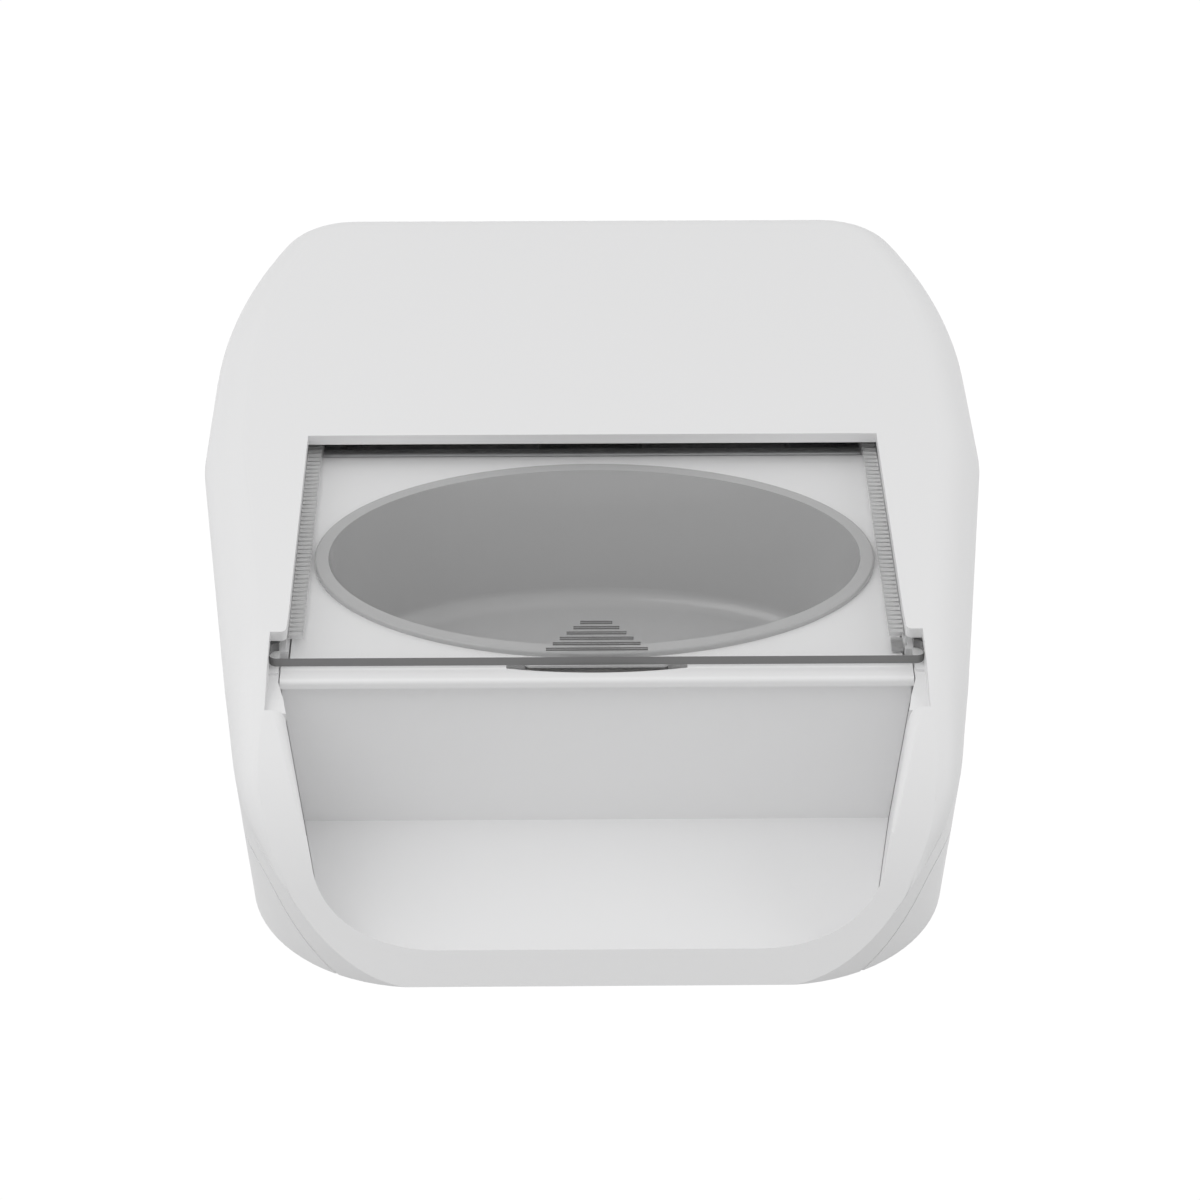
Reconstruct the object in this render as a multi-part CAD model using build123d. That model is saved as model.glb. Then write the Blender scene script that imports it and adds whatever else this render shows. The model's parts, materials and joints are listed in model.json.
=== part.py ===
"""Low pet feeder with a clear sliding lid, millimetres.

+Z is up and the front, where the animal eats, faces -Y.  The origin is the
middle of the footprint, on the plane that the rubber feet stand on.
"""
from build123d import *
from math import asin, atan, atan2, ceil, cos, degrees, floor, pi, radians, sin, sqrt, tan
import os

os.makedirs("parts", exist_ok=True)

# ---------------------------------------------------------------- housing
HEIGHT = 62.0            # roof above the feet's plane
FOOT_GAP = 1.0           # underside of the base above the floor
HALF_WIDTH = 111.0       # at the underside
LEAN = 5.0               # the sides lean out by this much on the way up
FRONT_Y = -163.5
REAR_Y = 163.5
WALL = 2.5
TAPER = 0.129            # the cheeks draw in towards the front
KINK_Y = 15.5            # where that taper begins
KINK_R = 60.0
FRONT_CORNER_R = 47.0
SIDE_ARC_Y = 65.0        # the sides curve in behind this line
SIDE_ARC_R = 234.0
REAR_CORNER_R = 22.0
CROWN_R = 12.0           # rounding along the roof's edge
RAMP_Y = -81.9           # the cheeks leave the roof here
RAMP_R = 80.0
RAMP_ANGLE = 60.0
CROWN_SPLIT_Y = -81.0    # behind this the crown keeps one radius
CROWN_FADE = (           # the crown's share of its radius along each cheek
    (-78.0, 1.0), (-84.0, 1.0), (-92.0, 0.985), (-105.0, 0.93), (-118.0, 0.80),
    (-130.0, 0.60), (-140.0, 0.38), (-148.0, 0.19), (-154.0, 0.06),
)
LEAST_R = 0.3            # the smallest rounding that is modelled

# ---------------------------------------------------------------- parting line
SEAM_FRONT_Y = -158.0
SEAM_ANGLE = 57.0
SEAM_Z = 26.0
SEAM_R = 14.0
SEAM_GAP = 0.5           # shadow line between the shells
SEAM_DEPTH = 1.0

# ---------------------------------------------------------------- front recess
MAT_FLOOR_Z = 5.5        # top of the mat's floor
MAT_T = 1.2
MAT_GAP = 0.15           # between the mat and the recess it lies in
RECESS_T = 1.5           # moulded floor under the mat
RECESS_CORNER = (42.2, -147.0)   # centre of the oval front corners
RECESS_R = (30.5, 11.1)  # their half width and half depth
RECESS_TAPER = 0.165
RECESS_DRAFT = 0.1
RECESS_EDGE_R = 1.0      # rounding all along the recess's upper edge
RECESS_SOFT = (          # larger radius along each cheek, from inside the thumb pocket
    (-110.0, 3.0), (-117.0, 2.8), (-126.0, 2.2), (-135.0, 1.5), (-142.0, 0.9),
)
RECESS_WALL = 1.9
PANEL_Y = -96.5          # front face of the mat's upright panel
PANEL_T = 1.5
PANEL_WALL_T = 1.8
BAR_FRONT_Y = -99.5
BAR_REAR_Y = -90.2
BAR_BOTTOM_Z = 52.0
BAR_TOP_Z = 54.5
BAR_HALF = 85.4
PANEL_HALF = 85.1
POCKET_HALF = 88.4       # thumb pockets beside the bar's ends
POCKET_FRONT_Y = -114.0
POCKET_Z = 43.0
POCKET_R = 9.0
POCKET_WALL = 1.6
NOTCH_HALF = 24.5        # finger notch in the bar
NOTCH_DEPTH_Y = -96.1
NOTCH_RISE = 2.2         # how far the notch's edge bows

# ---------------------------------------------------------------- window and lid
LIP_Y = 14.0             # front edge of the hood
ROOF_T = 3.1
WINDOW_REAR_HALF = 81.9
WINDOW_FRONT_HALF = 84.1
WINDOW_STEP_Y = -86.5
WINDOW_STEP_R = 1.6
LID_TOP_Z = 58.0
LID_T = 2.6
LID_HALF = 86.2
LID_FRONT_Y = -93.7
LID_REAR_Y = 33.0
LID_TRAVEL = 105.0
EAR_HALF = 88.6
EAR_LENGTH = 7.6
EAR_R = 2.2
GRIP_COUNT = 6
GRIP_FIRST_Y = -77.2
GRIP_PITCH = 2.6
GRIP_WIDTHS = (8.8, 27.6)
GRIP_W = 0.9
GRIP_H = 0.6
CHANNEL_GAP = 0.6        # beside the lid's ears
LEDGE_IN = 84.6
LEDGE_T = 1.5
SLIDE_GAP = 0.1

# ---------------------------------------------------------------- bowl and carrier
WELL_HALF = 83.9
WELL_FRONT_Y = -88.4
WELL_REAR_Y = 17.2
WELL_WALL = 1.8
CARRIER_TOP_Z = 53.2
CARRIER_T = 2.0
CARRIER_HALF = 83.4
CARRIER_REAR_Y = 19.2
TAB_HALF = 19.4
TAB_FRONT_Y = -93.8
BOWL_Y = -37.3
BOWL_RIM = (79.4, 50.1)
BOWL_FLOOR = (71.5, 34.0)
BOWL_RIM_TOP_Z = 54.8
BOWL_RIM_T = 1.6
BOWL_RIM_W = 2.2
BOWL_UNDERSIDE_Z = 16.0
BOWL_T = 1.8
FIT = 0.5                # loose fit of the lift-out pieces

# ---------------------------------------------------------------- drive
MODULE = 0.7
PRESSURE = 20.0
BACKLASH = 0.14
PINION_TEETH = 16
WHEEL_TEETH = 24
SMALL_TEETH = 10
RACK_IN = 80.2
RACK_W = 4.0
RACK_FRONT_Y = -80.0
SHAFT_Y = 27.0
SHAFT_R = 2.0
SHAFT_ENDS = (-91.0, 101.0)
RUN_GAP = 0.03
IDLER_ANGLE = -50.0
MOTOR_ANGLE = -20.0
WHEEL_X = 91.4           # first gear layer
LAYER = 4.0
LAYER_GAP = 0.8
AXLE_R = 1.5
MOTOR_R = 10.0
MOTOR_LENGTH = 26.0
MOTOR_SHAFT_R = 1.0
FRAME_IN = 86.0
FRAME_T = 3.0
DECK_TOP_Z = 52.0
DECK_T = 1.8
DECK_FRONT_Y = 37.0
DECK_REAR_Y = 140.0
BUSH_R = 3.6
COVER_X = 103.8
COVER_T = 1.6

# ---------------------------------------------------------------- base, power
BASE_T = 1.7
FOOT_R = 7.0
FOOT_SINK = 0.8
FEET = ((70.0, -124.0), (86.0, 134.0))
BOSSES = ((93.4, -58.0), (101.0, 62.0), (80.0, 147.0))
BOSS_R = 3.3
SCREW_R = 1.3
SCREW_HEAD_R = 2.8
CELL_R = 13.1
CELL_LENGTH = 50.0
CELL_GAP = 0.7
TRAY_IN_X = 17.0
TRAY_Y = (78.0, 136.0)
TRAY_T = 1.6
DOOR_T = 1.1
TONGUE_T = 1.0
TONGUE_W = 1.5
DOOR_GAP = 0.15
BUTTON_X = 16.0
BUTTON_Z = 43.0
BUTTON_R = 5.5
BUTTON_GAP = 0.3
BUTTON_TRAVEL = 1.2


def save(name, shape):
    """Write one piece under its own name."""
    export_step(shape, "parts/" + name + ".step")


def box(x, y, z):
    """A block from three (low, high) pairs."""
    size = (x[1] - x[0], y[1] - y[0], z[1] - z[0])
    middle = ((x[0] + x[1]) / 2, (y[0] + y[1]) / 2, (z[0] + z[1]) / 2)
    return Pos(*middle) * Box(*size)


def rod_x(radius, x, y, z):
    """A round bar along X between the pair x."""
    return Pos((x[0] + x[1]) / 2, y, z) * Rot(0, 90, 0) * Cylinder(radius, x[1] - x[0])


def rod_y(radius, x, y, z):
    """A round bar along Y between the pair y."""
    return Pos(x, (y[0] + y[1]) / 2, z) * Rot(90, 0, 0) * Cylinder(radius, y[1] - y[0])


def rod_z(radius, x, y, z):
    """A round bar along Z between the pair z."""
    return Pos(x, y, (z[0] + z[1]) / 2) * Cylinder(radius, z[1] - z[0])


def both(shape):
    """The piece and its mirror image across the middle plane."""
    return shape + mirror(shape, about=Plane.YZ)


def side_cut(points, x):
    """A prism along X over the pair x, from (y, z) corners."""
    face = Plane.YZ * make_face(Polyline(*points, close=True))
    return Pos(x[0], 0, 0) * extrude(face, x[1] - x[0], dir=(1, 0, 0))


# ---------------------------------------------------------------- outer form
SIDE_ANGLE = atan(TAPER)
FRONT_CENTRE = (
    HALF_WIDTH + TAPER * (FRONT_Y + FRONT_CORNER_R - KINK_Y) - FRONT_CORNER_R / cos(SIDE_ANGLE),
    FRONT_Y + FRONT_CORNER_R,
)
LEAN_RATE = LEAN / (HEIGHT - FOOT_GAP)


def on_circle(centre, radius, angle):
    return (centre[0] + radius * cos(angle), centre[1] + radius * sin(angle))


def chain_face(arcs, z):
    """Face bounded by mirrored chains of tangent arcs, joined by straight lines."""
    edges = []
    for side in (1, -1):
        last = None
        for centre, radius, start, end in arcs:
            ends = [on_circle(centre, radius, a) for a in (start, (start + end) / 2, end)]
            p, m, q = [(side * x, y, z) for x, y in ends]
            if last is not None and (Vector(*last) - Vector(*p)).length > 1e-6:
                edges.append(Line(last, p))
            edges.append(ThreePointArc(p, m, q))
            last = q
        first = on_circle(arcs[0][0], arcs[0][1], arcs[0][2])
        if side == 1:
            edges.append(Line((-first[0], first[1], z), (first[0], first[1], z)))
            edges.append(Line((-last[0], last[1], z), last))
    return make_face(edges)


def plan_face(grow, rear, z):
    """The housing's plan: tapered cheeks, curved flanks and a straight rear."""
    kink = (HALF_WIDTH - KINK_R, KINK_Y + KINK_R * tan(SIDE_ANGLE / 2))
    side = (HALF_WIDTH - SIDE_ARC_R, SIDE_ARC_Y)
    corner_r = REAR_CORNER_R + grow
    corner_y = rear - corner_r
    reach = sqrt((SIDE_ARC_R - REAR_CORNER_R) ** 2 - (corner_y - SIDE_ARC_Y) ** 2)
    turn = atan2(corner_y - SIDE_ARC_Y, reach)
    arcs = [
        (FRONT_CENTRE, FRONT_CORNER_R + grow, -pi / 2, -SIDE_ANGLE),
        (kink, KINK_R + grow, -SIDE_ANGLE, 0),
        (side, SIDE_ARC_R + grow, 0, turn),
        ((side[0] + reach, corner_y), corner_r, turn, pi / 2),
    ]
    return chain_face(arcs, z)


def ramp_at(y):
    """Height of the roof or ramp at y, and its tilt towards the front."""
    run = RAMP_Y - y
    end = radians(RAMP_ANGLE)
    if run <= 0:
        return HEIGHT, 0.0
    if run <= RAMP_R * sin(end):
        tilt = asin(run / RAMP_R)
        return HEIGHT - RAMP_R + RAMP_R * cos(tilt), tilt
    return HEIGHT - RAMP_R + RAMP_R * cos(end) - (run - RAMP_R * sin(end)) * tan(end), end


def profile_solid(inset):
    """Side view of the housing, drawn out across its width."""
    end = radians(RAMP_ANGLE)
    radius = RAMP_R - inset
    centre = (RAMP_Y, HEIGHT - RAMP_R)
    top = HEIGHT - inset
    middle = (centre[0] - radius * sin(end / 2), centre[1] + radius * cos(end / 2))
    bend = (centre[0] - radius * sin(end), centre[1] + radius * cos(end))
    toe = (bend[0] - (bend[1] - FOOT_GAP) / tan(end), FOOT_GAP)
    beyond = REAR_Y + WALL
    edges = [
        ThreePointArc((RAMP_Y, top), middle, bend),
        Line(bend, toe),
        Line(toe, (beyond, FOOT_GAP)),
        Line((beyond, FOOT_GAP), (beyond, top)),
        Line((beyond, top), (RAMP_Y, top)),
    ]
    return extrude(Plane.YZ * make_face(edges), HALF_WIDTH + 2 * LEAN, both=True)


def flank_point(y):
    """Point where the flank meets the ramp at y, with both outward normals."""
    z, tilt = ramp_at(y)
    grow = LEAN_RATE * (z - FOOT_GAP)
    radius = FRONT_CORNER_R + grow
    if y >= FRONT_CENTRE[1] - radius * sin(SIDE_ANGLE):
        x = HALF_WIDTH + grow / cos(SIDE_ANGLE) + TAPER * (y - KINK_Y)
        turn = -SIDE_ANGLE
    else:
        turn = -asin((FRONT_CENTRE[1] - y) / radius)
        x = FRONT_CENTRE[0] + radius * cos(turn)
    flank = Vector(cos(turn), sin(turn), -LEAN_RATE).normalized()
    return Vector(x, y, z), flank, Vector(0, -sin(tilt), cos(tilt))


def recess_bend(half_x, half_y):
    """Angle on the oval corner where its slope equals the taper of the sides."""
    return -atan(RECESS_TAPER * half_y / half_x)


def recess_point(y):
    """Point where the recess's wall meets the ramp at y, with both outward normals."""
    z, tilt = ramp_at(y)
    grow = RECESS_DRAFT * (z - MAT_FLOOR_Z)
    half_x, half_y = RECESS_R[0] + grow, RECESS_R[1] + grow
    bend = recess_bend(half_x, half_y)
    bend_y = RECESS_CORNER[1] + half_y * sin(bend)
    if y >= bend_y:
        x = RECESS_CORNER[0] + half_x * cos(bend) + RECESS_TAPER * (y - bend_y)
        normal = Vector(1, -RECESS_TAPER, 0).normalized()
    else:
        turn = -asin((RECESS_CORNER[1] - y) / half_y)
        x = RECESS_CORNER[0] + half_x * cos(turn)
        normal = Vector(cos(turn) / half_x, sin(turn) / half_y, 0).normalized()
    wall = Vector(-normal.X, -normal.Y, RECESS_DRAFT).normalized()
    return Vector(x, y, z), wall, Vector(0, -sin(tilt), cos(tilt))


def edge_section(point, normal_a, normal_b, radius, margin=2.5):
    """What a rounding of this radius takes off the edge at one point."""
    lean = 1 + normal_a.dot(normal_b)
    centre = point - (normal_a + normal_b) * (radius / lean)
    start = centre + normal_a * radius
    finish = centre + normal_b * radius
    middle = centre + (normal_a + normal_b).normalized() * radius
    outer = point + (normal_a + normal_b) * (margin / lean)
    edges = [
        ThreePointArc(start, middle, finish),
        Line(finish, finish + normal_b * margin),
        Line(finish + normal_b * margin, outer),
        Line(outer, start + normal_a * margin),
        Line(start + normal_a * margin, start),
    ]
    return make_face(edges)


def fading_round(point_at, stations, inset=0.0):
    """Cutter that rounds an edge with a radius that changes from station to station."""
    sections = []
    for y, radius in stations:
        point, first, second = point_at(y)
        point = point - (first + second) * (inset / (1 + first.dot(second)))
        sections.append(edge_section(point, first, second, max(radius - inset, LEAST_R)))
    return loft(sections)


def sharp_housing(inset=0.0):
    """The outer form before its roof's edge is rounded."""
    low = plan_face(-inset, REAR_Y - inset, FOOT_GAP)
    high = plan_face(LEAN - inset, REAR_Y - inset, HEIGHT)
    return loft([low, high], ruled=True) & profile_solid(inset)


def housing(inset=0.0):
    """The whole outer form, or the same form set in by a wall."""
    body = sharp_housing(inset)
    crown = CROWN_R - inset
    reach = 2 * REAR_Y
    rear = body & box((-reach, reach), (CROWN_SPLIT_Y, reach), (-reach, reach))
    top = HEIGHT - inset
    rim = [
        e for e in rear.edges()
        if abs(e.center().Z - top) < 1e-3
        and e.bounding_box().size.Z < 1e-3
        and e.center().Y > CROWN_SPLIT_Y + 0.5
    ]
    rear = fillet(rim, crown)
    front = body & box((-reach, reach), (-reach, CROWN_SPLIT_Y), (-reach, reach))
    stations = [(y, share * CROWN_R) for y, share in CROWN_FADE]
    cutter = fading_round(flank_point, stations, inset)
    front = front - cutter - mirror(cutter, about=Plane.YZ)
    return rear + front


def seam_solid(drop=0.0):
    """Everything under the parting line between the two shells, or under a line set lower."""
    rise = radians(SEAM_ANGLE)
    radius = SEAM_R - drop
    tangent = radius * tan(rise / 2)
    front_y = SEAM_FRONT_Y + drop / sin(rise)
    top = SEAM_Z - drop
    corner_y = front_y + (top - FOOT_GAP) / tan(rise)
    low = (corner_y - tangent * cos(rise), top - tangent * sin(rise))
    high = (corner_y + tangent, top)
    centre = (high[0], top - radius)
    middle = (centre[0] - radius * sin(rise / 2), centre[1] + radius * cos(rise / 2))
    beyond = REAR_Y + WALL
    edges = [
        Line((front_y, FOOT_GAP), low),
        ThreePointArc(low, middle, high),
        Line(high, (beyond, top)),
        Line((beyond, top), (beyond, -WALL)),
        Line((beyond, -WALL), (front_y, -WALL)),
        Line((front_y, -WALL), (front_y, FOOT_GAP)),
    ]
    return extrude(Plane.YZ * make_face(edges), HALF_WIDTH + 2 * LEAN, both=True)


def recess_face(grow, rear, z):
    """Plan of the front recess: straight sides that draw in to round front corners."""
    half_x, half_y = RECESS_R[0] + grow, RECESS_R[1] + grow
    turn = recess_bend(half_x, half_y)
    cx, cy = RECESS_CORNER
    bend = (cx + half_x * cos(turn), cy + half_y * sin(turn))
    back_x = bend[0] + RECESS_TAPER * (rear - bend[1])
    front_y = cy - half_y
    edges = [Line((-cx, front_y, z), (cx, front_y, z)), Line((-back_x, rear, z), (back_x, rear, z))]
    for s in (1, -1):
        sweep = 90 + degrees(turn)
        start = -90 if s == 1 else 270 - sweep
        edges.append(EllipticalCenterArc((s * cx, cy, z), half_x, half_y, start, arc_size=sweep))
        edges.append(Line((s * bend[0], bend[1], z), (s * back_x, rear, z)))
    return make_face(edges)


def recess_solid(grow, rear, low, high):
    """The recess between two heights, with its draft."""
    faces = [recess_face(grow + RECESS_DRAFT * (z - MAT_FLOOR_Z), rear, z) for z in (low, high)]
    return loft(faces, ruled=True)


def recess_mask():
    """Ramp with the recess in it, its upper edge rounded."""
    block = profile_solid(0) - recess_solid(0, PANEL_BACK_Y, RECESS_FLOOR_Z, HEIGHT + WALL)
    rim = []
    for edge in block.edges():
        ends = [edge.position_at(0), edge.position_at(1)]
        middle = edge.position_at(0.5)
        on_ramp = all(abs(p.Z - ramp_at(p.Y)[0]) < 0.01 for p in ends)
        if on_ramp and abs(middle.X) < POCKET_HALF and PANEL_BACK_Y - 0.1 > middle.Y > FRONT_Y + 1:
            rim.append(edge)
    return fillet(rim, RECESS_EDGE_R)


# ---------------------------------------------------------------- shells
LID_BOTTOM_Z = LID_TOP_Z - LID_T
LEDGE_TOP_Z = LID_BOTTOM_Z - SLIDE_GAP
CHANNEL_HALF = EAR_HALF + CHANNEL_GAP
CHANNEL_WALL = 1.6
CHANNEL_REAR_Y = LID_REAR_Y + LID_TRAVEL + 2.0
ROOF_UNDER_Z = HEIGHT - ROOF_T
PANEL_BACK_Y = PANEL_Y + PANEL_T
PANEL_WALL_BACK_Y = PANEL_BACK_Y + PANEL_WALL_T
RECESS_FLOOR_Z = MAT_FLOOR_Z - MAT_T
RECESS_UNDER_Z = RECESS_FLOOR_Z - RECESS_T
BASE_FLOOR_Z = FOOT_GAP + BASE_T
PIN_Z = LID_BOTTOM_Z - 1.25 * MODULE - MODULE * PINION_TEETH / 2
WHEEL_TOP_Z = PIN_Z + MODULE * (WHEEL_TEETH / 2 + 1)


def button_hole(x):
    return rod_y(BUTTON_R + BUTTON_GAP, x, (REAR_Y - 3 * WALL, REAR_Y + WALL), BUTTON_Z)


def window_cut():
    """Opening in the roof over the lid, with rounded steps where the ears sit."""
    step = WINDOW_STEP_Y
    front = FRONT_Y + 8.0
    right = [
        (WINDOW_REAR_HALF, LIP_Y),
        (WINDOW_FRONT_HALF, step),
        (POCKET_HALF, step),
        (POCKET_HALF, PANEL_BACK_Y),
        (BAR_HALF, PANEL_BACK_Y),
        (BAR_HALF, front),
    ]
    corners = right + [(-x, y) for x, y in reversed(right)]
    face = make_face(Polyline(*corners, close=True))
    soft = [v for v in face.vertices() if abs(v.Y - step) < 0.01]
    face = fillet(soft, WINDOW_STEP_R)
    return Pos(0, 0, LID_BOTTOM_Z) * extrude(face, HEIGHT)


def pocket_block(grow):
    """Thumb pocket beside the end of the bar, or the block that lines it."""
    y0, y1 = POCKET_FRONT_Y - grow, WINDOW_STEP_Y + grow
    bottom, top = POCKET_Z - grow, HEIGHT + WALL
    face = make_face(Polyline((y0, top), (y0, bottom), (y1, bottom), (y1, top), close=True))
    corner = [v for v in face.vertices() if abs(v.X - y0) < 0.01 and abs(v.Y - bottom) < 0.01]
    face = fillet(corner, POCKET_R + grow)
    inside = BAR_HALF - 10
    return Pos(inside, 0, 0) * extrude(Plane.YZ * face, POCKET_HALF + grow - inside, dir=(1, 0, 0))


def pocket_backing():
    """What closes the pocket behind the panel's plane: a block beside the bar and two short walls."""
    half = POCKET_WALL / 2
    low = POCKET_Z - half
    beside = box((BAR_HALF + FIT, POCKET_HALF + half), (PANEL_Y, WINDOW_STEP_Y + half), (low, LEDGE_TOP_Z))
    wall_x = (BAR_HALF - 12.0, BAR_HALF + 2 * FIT)
    panel_wall = box(wall_x, (PANEL_BACK_Y, PANEL_WALL_BACK_Y), (low, BAR_BOTTOM_Z))
    well_wall = box(wall_x, (WELL_FRONT_Y - WELL_WALL, WELL_FRONT_Y), (low, CARRIER_TOP_Z - CARRIER_T))
    return beside + panel_wall + well_wall


def make_top_shell(outer, cavity):
    """Hood, rails, cheeks and front ring in one moulding."""
    skin = outer - cavity - seam_solid()
    tub = recess_solid(RECESS_WALL, PANEL_WALL_BACK_Y, RECESS_UNDER_Z, HEIGHT)
    inner_limits = outer & tub
    well = box(
        (-WELL_HALF - WELL_WALL, WELL_HALF + WELL_WALL),
        (WELL_FRONT_Y - WELL_WALL, WELL_REAR_Y + WELL_WALL),
        (BASE_FLOOR_Z + 0.2, CARRIER_TOP_Z - CARRIER_T),
    )
    well_void = box((-WELL_HALF, WELL_HALF), (WELL_FRONT_Y, WELL_REAR_Y), (0, HEIGHT))
    ledge_z = (LEDGE_TOP_Z - LEDGE_T, HEIGHT - WALL)
    channel = both(box((LEDGE_IN, CHANNEL_HALF + CHANNEL_WALL), (PANEL_WALL_BACK_Y, CHANNEL_REAR_Y), ledge_z))
    web = both(box(
        (WELL_HALF, CHANNEL_HALF + CHANNEL_WALL),
        (WELL_FRONT_Y - WELL_WALL, WELL_REAR_Y + WELL_WALL),
        (CARRIER_TOP_Z - CARRIER_T - 1.2, CARRIER_TOP_Z - CARRIER_T),
    ))
    side_y = (WELL_FRONT_Y - WELL_WALL, WELL_REAR_Y + WELL_WALL)
    low_z = CARRIER_TOP_Z - CARRIER_T - 1.2
    side_web = both(
        box((CARRIER_HALF + FIT, LEDGE_IN + WELL_WALL), side_y, (low_z, CARRIER_TOP_Z + 0.3))
        + box((LEDGE_IN, LEDGE_IN + WELL_WALL), side_y, (low_z, LEDGE_TOP_Z))
    )
    lining = outer & (channel + box(
        (-CHANNEL_HALF - CHANNEL_WALL, CHANNEL_HALF + CHANNEL_WALL),
        (PANEL_WALL_BACK_Y, CHANNEL_REAR_Y),
        (ROOF_UNDER_Z, HEIGHT - WALL + 0.05),
    ))
    pockets = outer & both(pocket_block(POCKET_WALL))
    shell = skin + inner_limits + pockets + well + web + side_web + lining
    for x, y in BOSSES:
        shell = shell + (outer & both(rod_z(BOSS_R, x, y, (SEAM_Z - 16, HEIGHT - WALL))))
    for s in (1, -1):
        shell = shell + rod_y(2.6, s * 27.0, (149.6, REAR_Y - WALL + 0.2), BUTTON_Z)
    shell = shell - recess_solid(0, PANEL_BACK_Y, RECESS_FLOOR_Z, HEIGHT + 4 * WALL)
    shell = shell - well_void
    lid_path = box(
        (-CHANNEL_HALF, CHANNEL_HALF),
        (LID_FRONT_Y - CHANNEL_GAP, CHANNEL_REAR_Y),
        (LEDGE_TOP_Z, ROOF_UNDER_Z),
    )
    shell = shell - lid_path - window_cut()
    bar_room = box(
        (-BAR_HALF - FIT, BAR_HALF + FIT),
        (BAR_FRONT_Y - FIT, WELL_FRONT_Y - WELL_WALL / 2),
        (BAR_BOTTOM_Z, HEIGHT),
    )
    shell = shell - bar_room - both(pocket_block(0))
    shell = shell - box((-NOTCH_HALF, NOTCH_HALF), (PANEL_BACK_Y, WELL_FRONT_Y), (CARRIER_TOP_Z - 10, HEIGHT))
    soften = fading_round(recess_point, RECESS_SOFT)
    shell = (shell & recess_mask()) - soften - mirror(soften, about=Plane.YZ)
    shell = shell + both(pocket_backing())
    for x, y in BOSSES:
        shell = shell - both(rod_z(SCREW_R - 0.2, x, y, (SEAM_Z - 18, SEAM_Z)))
    for s in (1, -1):
        shell = shell - button_hole(s * BUTTON_X)
    return shell


def door_profile(x_in, x_out, y, grow):
    """Battery door: plate flush with the underside and tongues above its edges."""
    z0 = FOOT_GAP
    z1 = z0 + DOOR_T
    plate = box((x_in - grow, x_out + grow), y, (z0 - (1 if grow else 0), z1 + grow))
    tongue = box((x_in - TONGUE_W - grow, x_out + TONGUE_W + grow), y, (z1 - grow, z1 + TONGUE_T + grow))
    return plate + tongue


TRAY_OUT_X = TRAY_IN_X + 2 * (2 * CELL_R + CELL_GAP)
DOOR_Y = (TRAY_Y[0] - 1.0, REAR_Y)


def make_base_shell(outer, cavity):
    """Tub that closes the underside, with door grooves, feet pockets and screw holes."""
    skin = (outer - cavity) & seam_solid()
    reach = 2 * REAR_Y
    slab = outer & seam_solid() & box((-reach, reach), (-reach, reach), (FOOT_GAP, BASE_FLOOR_Z))
    thick = box(
        (TRAY_IN_X - 4, TRAY_OUT_X + 4), (TRAY_Y[0] - 4, REAR_Y - 0.6), (FOOT_GAP, FOOT_GAP + DOOR_T + TONGUE_T + 1.1),
    )
    shell = skin + slab + (outer & both(thick))
    clear = recess_solid(RECESS_WALL + 0.15, PANEL_WALL_BACK_Y, RECESS_UNDER_Z - 0.1, HEIGHT)
    shadow_line = (outer - sharp_housing(SEAM_DEPTH)) - seam_solid(SEAM_GAP)
    shell = shell - clear - shadow_line
    for x, y in BOSSES:
        post = rod_z(BOSS_R + 1.2, x, y, (FOOT_GAP, SEAM_Z - 16.1))
        hole = rod_z(SCREW_R + 0.3, x, y, (0, SEAM_Z))
        sink = rod_z(SCREW_HEAD_R + 0.4, x, y, (0, FOOT_GAP + 4.0))
        shell = shell + both(post) - both(hole) - both(sink)
    for x, y in FEET:
        shell = shell - both(rod_z(FOOT_R + 0.15, x, y, (0, FOOT_GAP + FOOT_SINK)))
    cut = door_profile(TRAY_IN_X, TRAY_OUT_X, (DOOR_Y[0] - DOOR_GAP, REAR_Y + WALL), DOOR_GAP)
    bay = box((TRAY_IN_X + 0.8, TRAY_OUT_X - 0.8), TRAY_Y, (0, 12))
    shell = shell - both(cut) - both(bay)
    for x, y in FRAME_POSTS:
        shell = shell + rod_z(5.0, x, y, (FOOT_GAP, FRAME_SEAT_Z))
        shell = shell - rod_z(SCREW_R + 0.2, x, y, (0, FRAME_SEAT_Z + 1))
        shell = shell - rod_z(SCREW_HEAD_R + 0.4, x, y, (0, FRAME_SEAT_Z - 2.0))
    return shell


# ---------------------------------------------------------------- lift-out pieces
def make_mat():
    """One-piece mat: floor tray, upright panel and the bar across its top."""
    rear = PANEL_BACK_Y - MAT_GAP
    floor_part = recess_solid(-MAT_GAP, rear, RECESS_FLOOR_Z, MAT_FLOOR_Z)
    panel = recess_solid(-MAT_GAP, rear, RECESS_FLOOR_Z, BAR_TOP_Z - 1)
    panel = panel & box((-PANEL_HALF, PANEL_HALF), (PANEL_Y, PANEL_BACK_Y), (0, HEIGHT))
    bar = box((-BAR_HALF, BAR_HALF), (BAR_FRONT_Y, BAR_REAR_Y), (BAR_BOTTOM_Z, BAR_TOP_Z))
    front_edge = [e for e in bar.edges() if abs(e.center().Y - BAR_FRONT_Y) < 0.01 and abs(e.center().Z - BAR_TOP_Z) < 0.01]
    bar = fillet(front_edge, 1.2)
    depth = BAR_REAR_Y - NOTCH_DEPTH_Y
    radius = (NOTCH_HALF ** 2 + NOTCH_RISE ** 2) / (2 * NOTCH_RISE)
    notch = rod_z(radius, 0, NOTCH_DEPTH_Y + radius, (BAR_BOTTOM_Z - 1, HEIGHT))
    notch = notch & box((-NOTCH_HALF, NOTCH_HALF), (NOTCH_DEPTH_Y, BAR_REAR_Y + depth), (0, HEIGHT))
    mat = floor_part + panel + bar - notch
    return mat


def oval(z, half_x, half_y):
    return Pos(0, BOWL_Y, z) * Ellipse(half_x, half_y)


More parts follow.
